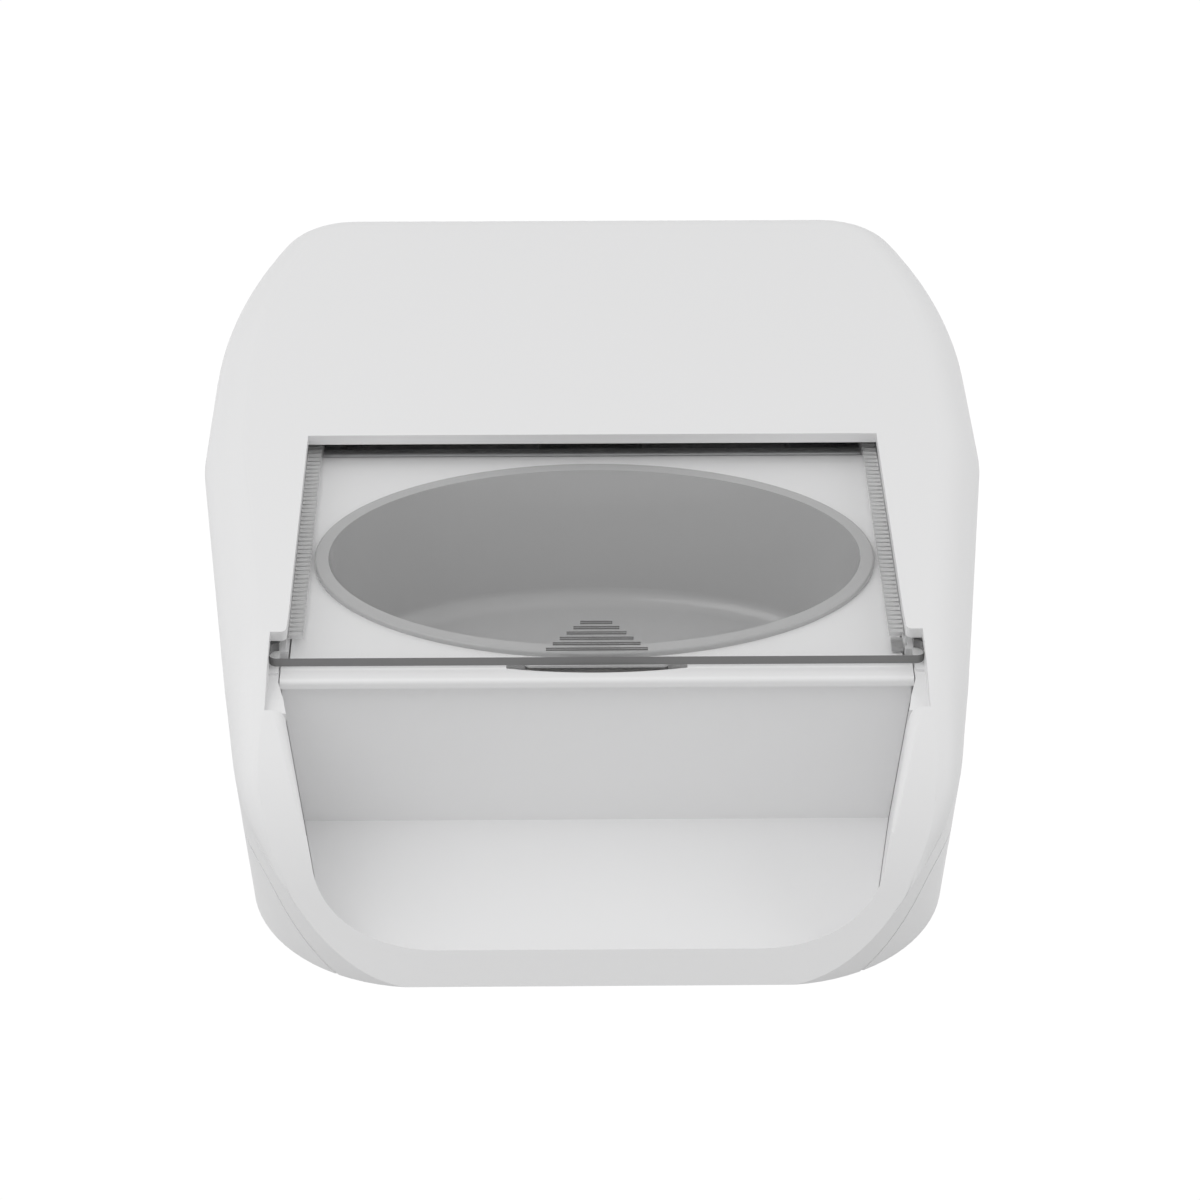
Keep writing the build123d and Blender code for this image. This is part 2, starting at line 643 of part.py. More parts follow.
def make_bowl():
    """Oval bowl with a turned-out rim."""
    body_top = (BOWL_RIM[0] - BOWL_RIM_W, BOWL_RIM[1] - BOWL_RIM_W)
    rim_under = BOWL_RIM_TOP_Z - BOWL_RIM_T
    outer = loft([oval(BOWL_UNDERSIDE_Z, *BOWL_FLOOR), oval(BOWL_RIM_TOP_Z, *body_top)], ruled=True)
    low_edge = outer.edges().sort_by(Axis.Z)[0]
    outer = fillet([low_edge], 5.0)
    grown = (BOWL_FLOOR[0] - BOWL_T, BOWL_FLOOR[1] - BOWL_T)
    mouth = (body_top[0] - BOWL_T, body_top[1] - BOWL_T)
    inner = loft([oval(BOWL_UNDERSIDE_Z + BOWL_T, *grown), oval(BOWL_RIM_TOP_Z + 0.01, *mouth)], ruled=True)
    inner = fillet([inner.edges().sort_by(Axis.Z)[0]], 6.0)
    rim = extrude(oval(rim_under, *BOWL_RIM), BOWL_RIM_T)
    rim = fillet([rim.edges().sort_by(Axis.Z)[-1]], 0.7)
    return outer + rim - inner


def make_carrier():
    """Plate that holds the bowl, with a skirt round the hole and a finger tab."""
    z = (CARRIER_TOP_Z - CARRIER_T, CARRIER_TOP_Z)
    plate = box((-CARRIER_HALF, CARRIER_HALF), (BAR_REAR_Y + 0.6, CARRIER_REAR_Y), z)
    tab = box((-TAB_HALF, TAB_HALF), (TAB_FRONT_Y, BAR_REAR_Y + 2), (z[0], z[1] + 0.8))
    tab = fillet([e for e in tab.edges() if abs(e.center().Y - TAB_FRONT_Y) < 0.01 and e.bounding_box().size.Z > 1], 1.5)
    hole = (BOWL_RIM[0] - BOWL_RIM_W + FIT, BOWL_RIM[1] - BOWL_RIM_W + FIT)
    skirt_z = z[0] - 4.0
    skirt = extrude(oval(skirt_z, hole[0] + 1.4, hole[1] + 1.4), 5.0)
    return plate + tab + skirt - extrude(oval(skirt_z - 1, *hole), 12)


# ---------------------------------------------------------------- lid
def make_lid():
    """Clear lid with small ears at its front corners and grip ribs on top."""
    plate = box((-LID_HALF, LID_HALF), (LID_FRONT_Y, LID_REAR_Y), (LID_BOTTOM_Z, LID_TOP_Z))
    ears = box((-EAR_HALF, EAR_HALF), (LID_FRONT_Y, LID_FRONT_Y + EAR_LENGTH), (LID_BOTTOM_Z, LID_TOP_Z))
    corners = [e for e in ears.edges() if e.bounding_box().size.Z > LID_T / 2]
    ears = fillet(corners, EAR_R)
    lid = plate + ears
    for i in range(GRIP_COUNT):
        share = i / (GRIP_COUNT - 1)
        length = GRIP_WIDTHS[0] + share * (GRIP_WIDTHS[1] - GRIP_WIDTHS[0])
        y = GRIP_FIRST_Y - i * GRIP_PITCH
        rib = box((-length / 2, length / 2), (y - GRIP_W / 2, y + GRIP_W / 2), (LID_TOP_Z - 0.2, LID_TOP_Z + GRIP_H))
        top = [e for e in rib.edges().group_by(Axis.Z)[-1] if e.bounding_box().size.X > length / 2]
        lid = lid + fillet(top, GRIP_W * 0.35)
    return lid


def involute(angle):
    return tan(angle) - angle


def gear_face(teeth, centre, phase):
    """Gear outline in (y, z), one tooth pointing along the angle phase."""
    pitch_r = MODULE * teeth / 2
    base_r = pitch_r * cos(radians(PRESSURE))
    tip_r = pitch_r + 0.9 * MODULE
    root_r = pitch_r - 1.25 * MODULE
    half_pitch = pi / (2 * teeth) - BACKLASH / (4 * pitch_r)

    def half_angle(radius):
        radius = max(radius, base_r)
        return half_pitch + involute(radians(PRESSURE)) - involute(atan(sqrt((radius / base_r) ** 2 - 1)))

    points = []
    for i in range(teeth):
        middle = phase + 2 * pi * i / teeth
        for radius, side in ((root_r, -1), (pitch_r, -1), (tip_r, -1), (tip_r, 1), (pitch_r, 1), (root_r, 1)):
            points.append(on_circle(centre, radius, middle + side * half_angle(radius)))
    return make_face(Polyline(*points, close=True))


def gear(teeth, centre, phase, x, bore):
    """Straight-toothed gear along X over the pair x, with a round bore."""
    solid = Pos(x[0], 0, 0) * extrude(Plane.YZ * gear_face(teeth, centre, phase), x[1] - x[0], dir=(1, 0, 0))
    return solid - rod_x(bore, (x[0] - 1, x[1] + 1), *centre)


def mesh_phase(centre_a, teeth_a, phase_a, centre_b, teeth_b):
    """Phase that puts gear b's gap where gear a's tooth comes."""
    line = atan2(centre_b[1] - centre_a[1], centre_b[0] - centre_a[0])
    offset = (phase_a - line) * teeth_a
    return line + pi + (pi - offset) / teeth_b


def make_rack():
    """Rack strip under the lid's edge, in phase with the pinion."""
    pitch = pi * MODULE
    pitch_z = PIN_Z + MODULE * PINION_TEETH / 2
    tip_z = pitch_z - 0.9 * MODULE
    root_z = LID_BOTTOM_Z
    slope = tan(radians(PRESSURE))
    half = pitch / 4 - BACKLASH / 4
    first = ceil((RACK_FRONT_Y - SHAFT_Y) / pitch)
    last = floor((LID_REAR_Y - SHAFT_Y - pitch) / pitch)
    points = [(RACK_FRONT_Y, root_z - 0.2)]
    for i in range(first, last + 1):
        y = SHAFT_Y + (i + 0.5) * pitch
        wide = half + (root_z - 0.2 - pitch_z) * slope
        narrow = half - (pitch_z - tip_z) * slope
        points += [(y - wide, root_z - 0.2), (y - narrow, tip_z), (y + narrow, tip_z), (y + wide, root_z - 0.2)]
    points += [(LID_REAR_Y, root_z - 0.2), (LID_REAR_Y, root_z), (RACK_FRONT_Y, root_z)]
    return side_cut(points, (RACK_IN, RACK_IN + RACK_W))


# ---------------------------------------------------------------- drive train
SHAFT = (SHAFT_Y, PIN_Z)
REACH = MODULE * (WHEEL_TEETH + SMALL_TEETH) / 2
IDLER = on_circle(SHAFT, REACH, radians(IDLER_ANGLE))
MOTOR = on_circle(IDLER, REACH, radians(MOTOR_ANGLE))
LAYER_1 = (WHEEL_X, WHEEL_X + LAYER)
LAYER_2 = (WHEEL_X + LAYER + LAYER_GAP, WHEEL_X + 2 * LAYER + LAYER_GAP)
PINION_PHASE = pi / 2
WHEEL_PHASE = pi / 2
FRAME_POSTS = ((80.0, 70.0), (-80.0, 70.0), (80.0, 112.0), (-80.0, 112.0))
FRAME_SEAT_Z = 5.0
COVER_POSTS = ((18.6, 25.0), (56.0, 25.0), (56.0, 50.0))


def make_idler():
    """Compound gear: the big wheel meets the motor, the small one the shaft."""
    small_phase = mesh_phase(SHAFT, WHEEL_TEETH, WHEEL_PHASE, IDLER, SMALL_TEETH)
    wheel = gear(WHEEL_TEETH, IDLER, small_phase, LAYER_1, AXLE_R + RUN_GAP)
    small = gear(SMALL_TEETH, IDLER, small_phase, (LAYER_1[1], LAYER_2[1]), AXLE_R + RUN_GAP)
    return wheel + small, small_phase


def make_frame():
    """Deck and two side plates that carry the shaft, idler, motor and boards."""
    deck = box((-FRAME_IN - FRAME_T, FRAME_IN + FRAME_T), (DECK_FRONT_Y, DECK_REAR_Y), (DECK_TOP_Z - DECK_T, DECK_TOP_Z))
    x = (FRAME_IN, FRAME_IN + FRAME_T)
    frame = deck + both(box(x, (23.6, 60.0), (20.0, DECK_TOP_Z)) + box(x, (21.2, 24.0), (42.0, DECK_TOP_Z)))
    for x, y in FRAME_POSTS:
        frame = frame + rod_z(4.0, x, y, (FRAME_SEAT_Z, DECK_TOP_Z - 0.5))
        frame = frame - rod_z(SCREW_R - 0.2, x, y, (0, 16))
    for y, z in COVER_POSTS:
        frame = frame + rod_x(2.6, (FRAME_IN + 0.5, WHEEL_X - 0.2), y, z)
        frame = frame - rod_x(0.9, (FRAME_IN - 1, WHEEL_X), y, z)
    frame = frame - rod_x(BUSH_R, (-100, 100), *SHAFT)
    frame = frame - rod_x(AXLE_R, (0, 100), *IDLER)
    frame = frame - rod_x(3.2, (0, 100), *MOTOR)
    return frame


def make_bushes():
    """Two flanged bushes, one in each side plate."""
    x0 = FRAME_IN
    bush = rod_x(BUSH_R, (x0, x0 + FRAME_T), *SHAFT) + rod_x(BUSH_R + 1.0, (x0 + FRAME_T, x0 + FRAME_T + 0.8), *SHAFT)
    bush = bush - rod_x(SHAFT_R + RUN_GAP, (x0 - 1, x0 + 9), *SHAFT)
    return Compound(children=[bush, mirror(bush, about=Plane.YZ)])


def make_gear_cover():
    """Outer cover of the gear train, open towards the side plate."""
    y = (15.2, 58.6)
    z = (22.4, WHEEL_TOP_Z + 0.4)
    x = (WHEEL_X - 0.2, COVER_X)
    t = COVER_T
    cover = box(x, y, z)
    cover = cover - box((x[0] - 1, x[1] - t), (y[0] + t, y[1] - t), (z[0] + t, z[1] - t))
    cover = cover - box((x[0] - 1, x[1] - t), (y[0] + t, y[1] - t), (z[1] - 2 * t, z[1] + t))
    for cy, cz in COVER_POSTS:
        post = rod_x(2.6, (x[0], x[1] - t / 2), cy, cz)
        cover = cover + (post & box(x, y, z))
        cover = cover - rod_x(0.95, (x[0] - 1, x[1] + 1), cy, cz)
    cover = cover - rod_x(AXLE_R, (x[0], x[1] + 1), *IDLER)
    return cover


def make_motor():
    """Round motor can with a flat on two sides and a front boss."""
    x = (FRAME_IN - MOTOR_LENGTH, FRAME_IN)
    can = rod_x(MOTOR_R, x, *MOTOR)
    flat = MOTOR_R - 2.2
    keep = box((x[0] - 1, x[1] + 1), (MOTOR[0] - 20, MOTOR[0] + 20), (MOTOR[1] - flat, MOTOR[1] + flat))
    can = can & keep
    boss = rod_x(3.0, (x[1] - 0.1, x[1] + 1.6), *MOTOR)
    tail = rod_x(3.0, (x[0] - 1.8, x[0] + 0.1), *MOTOR)
    return can + boss + tail - rod_x(MOTOR_SHAFT_R + RUN_GAP, (FRAME_IN - 8, FRAME_IN + 4), *MOTOR)


# ---------------------------------------------------------------- electrics and power
def make_coil():
    """Reader coil wound round the bowl's well."""
    half = WELL_HALF + WELL_WALL + 0.6
    y = (PANEL_WALL_BACK_Y + 0.2, WELL_REAR_Y + WELL_WALL + 3.4)
    width = 2.4
    z = (34.0, 40.0)
    outer = box((-half - width, half + width), y, z)
    inner = box((-half, half), (y[0] + width, y[1] - width), (z[0] - 1, z[1] + 1))
    outer = fillet([e for e in outer.edges() if e.bounding_box().size.Z > 3], 4.0)
    inner = fillet([e for e in inner.edges() if e.bounding_box().size.Z > 3], 1.2)
    return outer - inner


def make_tray():
    """Battery box over one bay, open underneath."""
    z0 = FOOT_GAP + DOOR_T + TONGUE_T + 1.15
    z1 = z0 + 2 * CELL_R + 1.6
    x = (TRAY_IN_X + 0.8, TRAY_OUT_X - 0.8)
    block = box((x[0] - TRAY_T, x[1] + TRAY_T), (TRAY_Y[0] - TRAY_T, TRAY_Y[1] + TRAY_T), (z0, z1 + TRAY_T))
    return block - box(x, TRAY_Y, (z0 - 1, z1))


CELL_X = (TRAY_IN_X + CELL_R + CELL_GAP / 2 + 0.5, TRAY_OUT_X - CELL_R - CELL_GAP / 2 - 0.5)
CELL_Z = FOOT_GAP + DOOR_T + TONGUE_T + 0.6 + CELL_R
CELL_Y = (TRAY_Y[0] + 3.4, TRAY_Y[0] + 3.4 + CELL_LENGTH)


def make_cells():
    """Four C cells, two in each bay, laid nose to tail."""
    cells = []
    for s in (1, -1):
        for turn, x in enumerate(CELL_X):
            y0, y1 = CELL_Y
            nose = 1.8
            if turn:
                body = rod_y(CELL_R, s * x, (y0 + nose, y1), CELL_Z)
                tip = rod_y(3.2, s * x, (y0, y0 + nose + 0.1), CELL_Z)
            else:
                body = rod_y(CELL_R, s * x, (y0, y1 - nose), CELL_Z)
                tip = rod_y(3.2, s * x, (y1 - nose - 0.1, y1), CELL_Z)
            cells.append(body + tip)
    return Compound(children=cells)


def make_contacts():
    """Sprung contact leaves at both ends of every cell."""
    leaves = []
    for s in (1, -1):
        for x in CELL_X:
            for wall, cell in ((TRAY_Y[0], CELL_Y[0]), (TRAY_Y[1], CELL_Y[1])):
                d = 1 if cell > wall else -1
                gap = abs(cell - wall) - 0.1
                z = CELL_Z
                pts = [(wall, z - 6), (wall, z + 7), (wall + d * 0.5, z + 7), (wall + d * 0.5, z - 4)]
                pts += [(wall + d * gap, z + 2), (wall + d * gap, z + 1), (wall + d * 0.5, z - 6)]
                leaves.append(side_cut(pts, (s * x - 4, s * x + 4)))
    return Compound(children=leaves)


def make_door():
    """Battery door that slides out to the rear, ribbed where a thumb pushes."""
    door = door_profile(TRAY_IN_X, TRAY_OUT_X, DOOR_Y, 0)
    middle = (TRAY_IN_X + TRAY_OUT_X) / 2
    for i in range(5):
        y = REAR_Y - 8.0 - 3.0 * i
        door = door - box((middle - 12, middle + 12), (y - 0.6, y + 0.6), (FOOT_GAP - 1, FOOT_GAP + 0.5))
    return door


def make_button(s):
    """Round button with an inner collar and a stem to its switch."""
    x = s * BUTTON_X
    face = REAR_Y
    inside = REAR_Y - WALL
    cap = rod_y(BUTTON_R, x, (inside - 0.6, face), BUTTON_Z)
    rim = [e for e in cap.edges() if abs(e.center().Y - face) < 0.01]
    cap = fillet(rim, 0.5)
    collar = rod_y(BUTTON_R + 1.4, x, (inside - 1.8, inside - 0.3), BUTTON_Z)
    stem = rod_y(1.8, x, (SWITCH_TIP_Y + 0.1, inside - 1.0), BUTTON_Z)
    return cap + collar + stem


BOARD_Y = (148.0, 149.6)
SWITCH_TIP_Y = BOARD_Y[1] + 5.0


def make_switches():
    """Two push switches on the small board."""
    out = []
    for s in (1, -1):
        x = s * BUTTON_X
        body = box((x - 3, x + 3), (BOARD_Y[1], BOARD_Y[1] + 3.2), (BUTTON_Z - 3, BUTTON_Z + 3))
        out.append(body + rod_y(1.7, x, (BOARD_Y[1] + 3.0, SWITCH_TIP_Y - BUTTON_TRAVEL - 0.1), BUTTON_Z))
    return Compound(children=out)


def make_screws(places, head, length, radius, head_r):
    """A group of alike screws standing along Z."""
    out = []
    for x, y in places:
        out.append(rod_z(head_r, x, y, (head, head + 1.6)) + rod_z(radius, x, y, (head + 1.5, head + length)))
    return Compound(children=out)


def make_board_parts():
    """What hangs from the main board: chips, capacitors, a connector and a driver."""
    top = 46.2
    pieces = [
        box((-24, -10), (84, 98), (top - 1.6, top)),
        box((4, 12), (76, 86), (top - 1.4, top)),
        box((20, 38), (70, 78), (top - 7, top)),
        rod_z(4.0, 28, 96, (top - 11, top)),
        rod_z(4.0, 38, 96, (top - 11, top)),
        box((-50, -38), (74, 84), (top - 5, top)),
    ]
    return Compound(children=pieces)


# ---------------------------------------------------------------- build every piece
def main():
    outer = housing()
    cavity = housing(WALL)
    save("top_shell", make_top_shell(outer, cavity))
    save("base_shell", make_base_shell(outer, cavity))
    save("feeding_mat", make_mat())
    save("bowl", make_bowl())
    save("bowl_carrier", make_carrier())

    save("lid", make_lid())
    rack = make_rack()
    save("rack_right", rack)
    save("rack_left", mirror(rack, about=Plane.YZ))
    save("lid_magnet", box((RACK_IN + 0.2, RACK_IN + 3.4), (RACK_FRONT_Y - 6.0, RACK_FRONT_Y - 1.2), (LID_BOTTOM_Z - 1.4, LID_BOTTOM_Z)))

    save("drive_shaft", rod_x(SHAFT_R, SHAFT_ENDS, *SHAFT))
    teeth_x = (RACK_IN + 0.1, RACK_IN + RACK_W - 0.1)
    pinion = gear(PINION_TEETH, SHAFT, PINION_PHASE, teeth_x, SHAFT_R)
    save("pinion_right", pinion)
    save("pinion_left", mirror(pinion, about=Plane.YZ))
    save("shaft_gear", gear(WHEEL_TEETH, SHAFT, WHEEL_PHASE, LAYER_2, SHAFT_R))
    idler, idler_phase = make_idler()
    save("idler_gear", idler)
    save("idler_axle", rod_x(AXLE_R, (FRAME_IN + 0.4, COVER_X - 0.2), *IDLER))
    motor_phase = mesh_phase(IDLER, WHEEL_TEETH, idler_phase, MOTOR, SMALL_TEETH)
    save("motor_pinion", gear(SMALL_TEETH, MOTOR, motor_phase, LAYER_1, MOTOR_SHAFT_R))
    save("motor_shaft", rod_x(MOTOR_SHAFT_R, (FRAME_IN - 6, LAYER_1[1] + 0.4), *MOTOR))
    save("motor", make_motor())
    save("mechanism_frame", make_frame())
    save("shaft_bushes", make_bushes())
    save("gear_cover", make_gear_cover())
    cover_screws = [rod_x(0.85, (FRAME_IN + 1, COVER_X + 0.1), y, z) + rod_x(1.8, (COVER_X, COVER_X + 1.2), y, z) for y, z in COVER_POSTS]
    save("gear_cover_screws", Compound(children=cover_screws))

    save("reader_coil", make_coil())
    save("main_board", box((-60, 52), (66, 128), (46.2, 47.8)))
    save("board_parts", make_board_parts())
    board_posts = [rod_z(2.2, x, y, (47.8, DECK_TOP_Z - DECK_T)) for x in (-54, 46) for y in (71, 123)]
    save("board_spacers", Compound(children=board_posts))
    save("button_board", box((-32, 32), BOARD_Y, (BUTTON_Z - 8, BUTTON_Z + 8)))
    save("push_switches", make_switches())
    board_screws = [rod_y(1.9, s * 27.0, (BOARD_Y[0] - 1.3, BOARD_Y[0]), BUTTON_Z) for s in (1, -1)]
    save("button_board_screws", Compound(children=board_screws))
    save("add_pet_button", make_button(-1))
    save("open_close_button", make_button(1))

    tray = make_tray()
    save("battery_tray_right", tray)
    save("battery_tray_left", mirror(tray, about=Plane.YZ))
    save("battery_cells", make_cells())
    save("battery_contacts", make_contacts())
    door = make_door()
    save("battery_door_right", door)
    save("battery_door_left", mirror(door, about=Plane.YZ))

    case_places = [(s * x, y) for x, y in BOSSES for s in (1, -1)]
    save("case_screws", make_screws(case_places, FOOT_GAP + 2.2, 20.0, SCREW_R - 0.2, SCREW_HEAD_R))
    save("frame_screws", make_screws(FRAME_POSTS, FRAME_SEAT_Z - 3.6, 12.0, SCREW_R - 0.2, SCREW_HEAD_R))
    feet = [rod_z(FOOT_R, s * x, y, (0, FOOT_GAP + FOOT_SINK)) for x, y in FEET for s in (1, -1)]
    save("rubber_feet", Compound(children=feet))


main()
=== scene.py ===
import bmesh
import bpy
import json
from math import cos, radians, sin
from mathutils import Matrix, Vector


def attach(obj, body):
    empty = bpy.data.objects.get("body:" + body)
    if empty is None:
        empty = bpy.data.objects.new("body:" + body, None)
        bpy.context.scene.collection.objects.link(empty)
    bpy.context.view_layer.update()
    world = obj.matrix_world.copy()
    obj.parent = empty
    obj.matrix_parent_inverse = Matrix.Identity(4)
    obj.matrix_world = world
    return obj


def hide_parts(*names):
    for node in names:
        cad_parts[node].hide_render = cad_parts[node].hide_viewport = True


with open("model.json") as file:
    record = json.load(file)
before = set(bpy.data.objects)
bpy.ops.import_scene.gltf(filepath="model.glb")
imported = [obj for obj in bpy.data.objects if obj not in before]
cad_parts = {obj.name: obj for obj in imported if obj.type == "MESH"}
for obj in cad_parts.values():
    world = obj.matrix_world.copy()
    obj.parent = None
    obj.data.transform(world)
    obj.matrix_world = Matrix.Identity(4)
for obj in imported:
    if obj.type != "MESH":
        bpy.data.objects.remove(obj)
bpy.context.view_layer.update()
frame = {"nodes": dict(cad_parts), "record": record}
nodes = frame["nodes"]


# ---------------------------------------------------------------- materials
PLASTICS = (  # name, grey, roughness, coat weight, grain strength
    ("shell_white", 0.80, 0.48, 0.04, 0.12),
    ("mat_white", 0.83, 0.42, 0.0, 0.12),
    ("carrier_white", 0.84, 0.42, 0.0, 0.12),
    ("inner_white", 0.66, 0.5, 0.0, 0.12),
    ("gear_white", 0.80, 0.35, 0.0, 0.12),
    ("bowl_grey", 0.45, 0.25, 0.7, 0.12),
    ("pad_grey", 0.42, 0.5, 0.0, 0.12),
    ("dark_plastic", 0.03, 0.4, 0.0, 0.12),
    ("foot_rubber", 0.05, 0.8, 0.0, 0.3),
)
PLASTIC_BLUE = 1.004  # blue of a plastic, as a multiple of its grey
PLASTIC_IOR = 1.5
COAT_ROUGH = 0.12
PLASTIC_GRAIN_SCALE = 2600.0
PLASTIC_GRAIN_DEPTH = 0.00008

CLEAR_SHEETS = (  # name, share of light let through, grey painted on the steep edges (painted shade on the lid, painted highlight on the racks)
    ("lid_clear", 0.985, 0.20),
    ("rack_clear", 0.99, 0.95),
)
SHEET_GLOSS = 0.05  # share of light that the flat faces reflect
SHEET_ROUGH = 0.05
EDGE_ROUGH = 0.12
EDGE_STEEPNESS = 0.5  # a face whose normal rises less than this counts as an edge and gets the painted edge grey

OTHER_FINISHES = (  # name, colour, roughness, metallic, grain scale, strength and depth
    ("board_green", (0.02, 0.12, 0.04), 0.3, 0.0, 900.0, 0.1, 0.0001),
    ("steel", (0.62, 0.62, 0.63), 0.35, 1.0, 1500.0, 0.08, 0.00005),
    ("coil_copper", (0.62, 0.30, 0.14), 0.35, 1.0, 1500.0, 0.08, 0.00005),
    ("cell_wrap", (0.03, 0.035, 0.05), 0.25, 0.0, 700.0, 0.05, 0.0001),
)
GRAIN_DETAIL = 3.0

SPECIAL_FINISH = {  # nodes that look different from their slot in the record
    "feeding_mat": "mat_white",
    "bowl_carrier": "carrier_white",
    "rack_left": "rack_clear",
    "rack_right": "rack_clear",
    "lid_magnet": "pad_grey",
}


def new_material(name, colour, rough):
    """Principled material of one colour; returns (material, tree, shader)."""
    mat = bpy.data.materials.new(name)
    mat.use_nodes = True
    tree = mat.node_tree
    shader = tree.nodes["Principled BSDF"]
    shader.inputs["Base Color"].default_value = (*colour, 1.0)
    shader.inputs["Roughness"].default_value = rough
    return mat, tree, shader


def add_grain(tree, shader, scale, strength, depth):
    """Fine moulded grain as a bump, fixed to the piece."""
    coords = tree.nodes.new("ShaderNodeTexCoord")
    noise = tree.nodes.new("ShaderNodeTexNoise")
    noise.inputs["Scale"].default_value = scale
    noise.inputs["Detail"].default_value = GRAIN_DETAIL
    bump = tree.nodes.new("ShaderNodeBump")
    bump.inputs["Strength"].default_value = strength
    bump.inputs["Distance"].default_value = depth
    tree.links.new(coords.outputs["Object"], noise.inputs["Vector"])
    tree.links.new(noise.outputs["Fac"], bump.inputs["Height"])
    tree.links.new(bump.outputs["Normal"], shader.inputs["Normal"])


def plastic(name, grey, rough, coat, grain):
    """Moulded plastic or rubber with a fine grain, with or without a glossy coat."""
    mat, tree, shader = new_material(name, (grey, grey, grey * PLASTIC_BLUE), rough)
    shader.inputs["Coat Weight"].default_value = coat
    shader.inputs["Coat Roughness"].default_value = COAT_ROUGH
    shader.inputs["IOR"].default_value = PLASTIC_IOR
    add_grain(tree, shader, PLASTIC_GRAIN_SCALE, grain, PLASTIC_GRAIN_DEPTH)
    return mat


def clear_sheet(name, passes, painted_edge_grey):
    """Clear plastic: its flat faces let light through; its steep edges are painted an opaque grey, standing
    in for the shade and highlights that refraction gives such edges.
    """
    # opaque grey for the steep edges: painted shade where it is dark, painted highlight where it is light
    mat, tree, edge = new_material(name, (painted_edge_grey, painted_edge_grey, painted_edge_grey), EDGE_ROUGH)
    clear = tree.nodes.new("ShaderNodeBsdfTransparent")
    clear.inputs["Color"].default_value = (passes, passes, passes, 1.0)
    shine = tree.nodes.new("ShaderNodeBsdfGlossy")
    shine.inputs["Roughness"].default_value = SHEET_ROUGH
    sheet = tree.nodes.new("ShaderNodeMixShader")
    sheet.inputs[0].default_value = SHEET_GLOSS
    tree.links.new(clear.outputs[0], sheet.inputs[1])
    tree.links.new(shine.outputs[0], sheet.inputs[2])
    coords = tree.nodes.new("ShaderNodeTexCoord")
    split = tree.nodes.new("ShaderNodeSeparateXYZ")
    level = tree.nodes.new("ShaderNodeMath")
    level.operation = "ABSOLUTE"
    # mask of the steep faces, which get the painted edge grey
    steep = tree.nodes.new("ShaderNodeMath")
    steep.operation = "LESS_THAN"
    steep.inputs[1].default_value = EDGE_STEEPNESS
    tree.links.new(coords.outputs["Normal"], split.inputs[0])
    tree.links.new(split.outputs["Z"], level.inputs[0])
    tree.links.new(level.outputs[0], steep.inputs[0])
    both = tree.nodes.new("ShaderNodeMixShader")
    tree.links.new(steep.outputs[0], both.inputs[0])
    tree.links.new(sheet.outputs[0], both.inputs[1])
    tree.links.new(edge.outputs[0], both.inputs[2])
    tree.links.new(both.outputs[0], tree.nodes["Material Output"].inputs["Surface"])
    return mat


def make_materials():
    """Every material of the object, by name."""
    made = {row[0]: plastic(*row) for row in PLASTICS}
    made.update({row[0]: clear_sheet(*row) for row in CLEAR_SHEETS})
    for name, colour, rough, metallic, *grain in OTHER_FINISHES:
        mat, tree, shader = new_material(name, colour, rough)
        shader.inputs["Metallic"].default_value = metallic
        add_grain(tree, shader, *grain)
        made[name] = mat
    return made


def dress_nodes():
    """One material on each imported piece: its slot's, or the special one."""
    slot_of = {row["node"]: row["material_slot"] for row in frame["record"]["subparts"]}
    for name, obj in nodes.items():
        obj.data.materials.clear()
        obj.data.materials.append(materials[SPECIAL_FINISH.get(name, slot_of[name])])


materials = make_materials()
dress_nodes()


# ---------------------------------------------------------------- bowl carrier with its thin finger tab
TAB_HALF = 0.0194
TAB_Y = (-0.0926, -0.0890)
TAB_Z = (0.0537, 0.0545)
TAB_CORNER = 0.0015
CORNER_STEPS = 6
PLATE_FRONT_Y = -0.0897


def corner_arc(cx, cy, radius, start):
    """Points of a quarter circle, counter-clockwise from an angle in degrees."""
    angles = [radians(start + 90.0 * i / CORNER_STEPS) for i in range(CORNER_STEPS + 1)]
    return [(cx + radius * cos(a), cy + radius * sin(a)) for a in angles]


def make_carrier():
    """The carrier as packed, its thick tab cut off, with the thin tab that shows in the notch."""
    shape = bmesh.new()
    shape.from_mesh(nodes["bowl_carrier"].data)
    everything = shape.verts[:] + shape.edges[:] + shape.faces[:]
    cut = bmesh.ops.bisect_plane(
        shape, geom=everything, plane_co=(0, PLATE_FRONT_Y, 0), plane_no=(0, -1, 0), clear_outer=True
    )
    rim = [e for e in cut["geom_cut"] if isinstance(e, bmesh.types.BMEdge)]
    bmesh.ops.holes_fill(shape, edges=rim)
    outline = corner_arc(TAB_CORNER - TAB_HALF, TAB_Y[0] + TAB_CORNER, TAB_CORNER, 180.0)
    outline += corner_arc(TAB_HALF - TAB_CORNER, TAB_Y[0] + TAB_CORNER, TAB_CORNER, 270.0)
    outline += [(TAB_HALF, TAB_Y[1]), (-TAB_HALF, TAB_Y[1])]
    low = [shape.verts.new((x, y, TAB_Z[0])) for x, y in outline]
    high = [shape.verts.new((x, y, TAB_Z[1])) for x, y in outline]
    shape.faces.new(high)
    shape.faces.new(low[::-1])
    for i in range(len(outline)):
        j = (i + 1) % len(outline)
        shape.faces.new((low[i], low[j], high[j], high[i]))
    mesh = bpy.data.meshes.new("carrier_with_tab")
    shape.to_mesh(mesh)
    shape.free()
    mesh.materials.append(materials["carrier_white"])
    piece = bpy.data.objects.new("carrier_with_tab", mesh)
    bpy.context.scene.collection.objects.link(piece)
    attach(piece, "housing")
    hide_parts("bowl_carrier")


make_carrier()


# ---------------------------------------------------------------- light floors in the pockets beside the bar
FLOOR_OUT_X = 0.0885
FLOOR_LOW_Z = 0.0430
FLOOR_SECTIONS = (  # y, inner edge, top; from the front to the rear
    (-0.1139, 0.0828, 0.0541),
    (-0.1080, 0.0838, 0.0546),
    (-0.0998, 0.0857, 0.0546),
    (-0.0943, 0.0857, 0.0545),
)


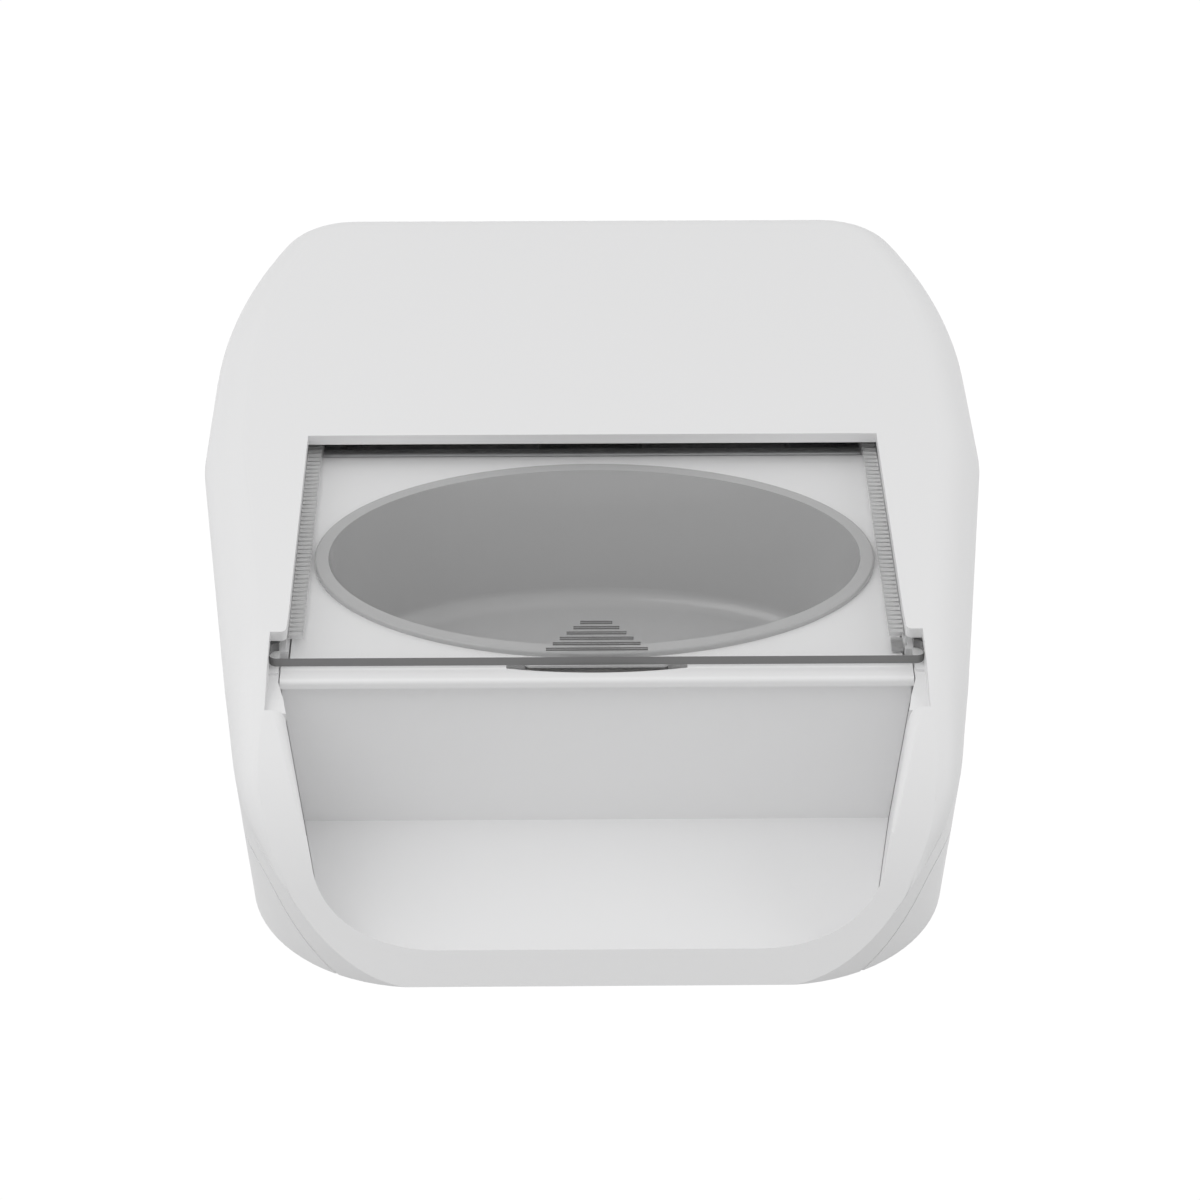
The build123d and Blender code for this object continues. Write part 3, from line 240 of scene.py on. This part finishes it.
def make_pocket_floor(side, name):
    """Light floor of the thumb pocket beside one end of the bar, as a closed block; side is 1 or -1."""
    points, faces = [], []
    for y, inner, top in FLOOR_SECTIONS:
        for x, z in ((inner, FLOOR_LOW_Z), (FLOOR_OUT_X, FLOOR_LOW_Z), (FLOOR_OUT_X, top), (inner, top)):
            points.append((side * x, y, z))
    for i in range(len(FLOOR_SECTIONS) - 1):
        for j in range(4):
            a, b = 4 * i + j, 4 * i + (j + 1) % 4
            faces.append((a, b, b + 4, a + 4))
    last = 4 * (len(FLOOR_SECTIONS) - 1)
    faces += [(3, 2, 1, 0), (last, last + 1, last + 2, last + 3)]
    mesh = bpy.data.meshes.new(name)
    mesh.from_pydata(points, [], faces if side > 0 else [f[::-1] for f in faces])
    mesh.materials.append(materials["shell_white"])
    piece = bpy.data.objects.new(name, mesh)
    bpy.context.scene.collection.objects.link(piece)
    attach(piece, "housing")


make_pocket_floor(1, "pocket_floor_right")
make_pocket_floor(-1, "pocket_floor_left")


# ---------------------------------------------------------------- studio
STAGE_SIZE = 30.0
STAGE_GREY = 0.58
STAGE_ROUGH = 0.9
STAGE_GLOW = 1.02
WORLD_LIGHT = 0.68
LAMPS = (  # name, place, point aimed at, width, height, watts
    ("key_lamp", (-0.60, -0.40, 1.2), (0, 0, 0), 0.9, 0.9, 3.6),
    ("left_lamp", (-1.1, 0.0, 0.7), (0, 0, 0.03), 1.0, 0.8, 2.2),
    ("right_lamp", (1.1, -0.1, 0.75), (0, 0, 0.03), 1.0, 0.8, 2.6),
)
CAMERA_AIM = (0.0021, 0.0, 0.0148)
CAMERA_DISTANCE = 1.059
CAMERA_YAW = -0.81
CAMERA_PITCH = 33.3  # degrees below the horizon
CAMERA_ROLL = 0.15
CAMERA_SENSOR = 36.0
CAMERA_LENS = 106.44
CAMERA_CLIP = (0.01, 50.0)


def make_floor():
    """Plain white to the camera, in gloss and through clear sheets; grey where it lights the object."""
    bpy.ops.mesh.primitive_plane_add(size=STAGE_SIZE, location=(0, 0, 0))
    floor = bpy.context.object
    floor.name = "floor"
    mat, tree, shader = new_material("floor", (STAGE_GREY, STAGE_GREY, STAGE_GREY), STAGE_ROUGH)
    glow = tree.nodes.new("ShaderNodeEmission")
    glow.inputs["Color"].default_value = (1.0, 1.0, 1.0, 1.0)
    glow.inputs["Strength"].default_value = STAGE_GLOW
    mix = tree.nodes.new("ShaderNodeMixShader")
    path = tree.nodes.new("ShaderNodeLightPath")
    first = tree.nodes.new("ShaderNodeMath")
    first.operation = "MAXIMUM"
    second = tree.nodes.new("ShaderNodeMath")
    second.operation = "MAXIMUM"
    tree.links.new(path.outputs["Is Camera Ray"], first.inputs[0])
    tree.links.new(path.outputs["Is Glossy Ray"], first.inputs[1])
    tree.links.new(first.outputs[0], second.inputs[0])
    tree.links.new(path.outputs["Is Transmission Ray"], second.inputs[1])
    tree.links.new(second.outputs[0], mix.inputs[0])
    tree.links.new(shader.outputs[0], mix.inputs[1])
    tree.links.new(glow.outputs[0], mix.inputs[2])
    tree.links.new(mix.outputs[0], tree.nodes["Material Output"].inputs["Surface"])
    floor.data.materials.append(mat)


def make_world():
    """Even white light from all round."""
    world = bpy.data.worlds.new("studio")
    bpy.context.scene.world = world
    world.use_nodes = True
    back = world.node_tree.nodes["Background"]
    back.inputs["Color"].default_value = (1.0, 1.0, 1.0, 1.0)
    back.inputs["Strength"].default_value = WORLD_LIGHT


def area_lamp(name, place, aim, width, height, power):
    """Rectangular lamp at a place, turned towards a point."""
    data = bpy.data.lights.new(name, "AREA")
    data.shape = "RECTANGLE"
    data.size = width
    data.size_y = height
    data.energy = power
    lamp = bpy.data.objects.new(name, data)
    bpy.context.scene.collection.objects.link(lamp)
    lamp.location = place
    direction = Vector(aim) - Vector(place)
    lamp.rotation_euler = direction.to_track_quat("-Z", "Y").to_euler()


def make_camera():
    """Camera at the photograph's angle and distance from the point that it aims at."""
    turn = Matrix.Rotation(radians(CAMERA_YAW), 3, "Z")
    turn = turn @ Matrix.Rotation(radians(90.0 - CAMERA_PITCH), 3, "X")
    turn = turn @ Matrix.Rotation(radians(CAMERA_ROLL), 3, "Z")
    data = bpy.data.cameras.new("camera")
    data.sensor_width = CAMERA_SENSOR
    data.lens = CAMERA_LENS
    data.clip_start, data.clip_end = CAMERA_CLIP
    cam = bpy.data.objects.new("camera", data)
    bpy.context.scene.collection.objects.link(cam)
    cam.location = Vector(CAMERA_AIM) + turn @ Vector((0.0, 0.0, CAMERA_DISTANCE))
    cam.rotation_euler = turn.to_euler()
    bpy.context.scene.camera = cam


make_floor()
make_world()
for lamp_row in LAMPS:
    area_lamp(*lamp_row)
make_camera()

bpy.context.scene.view_settings.view_transform = "Standard"
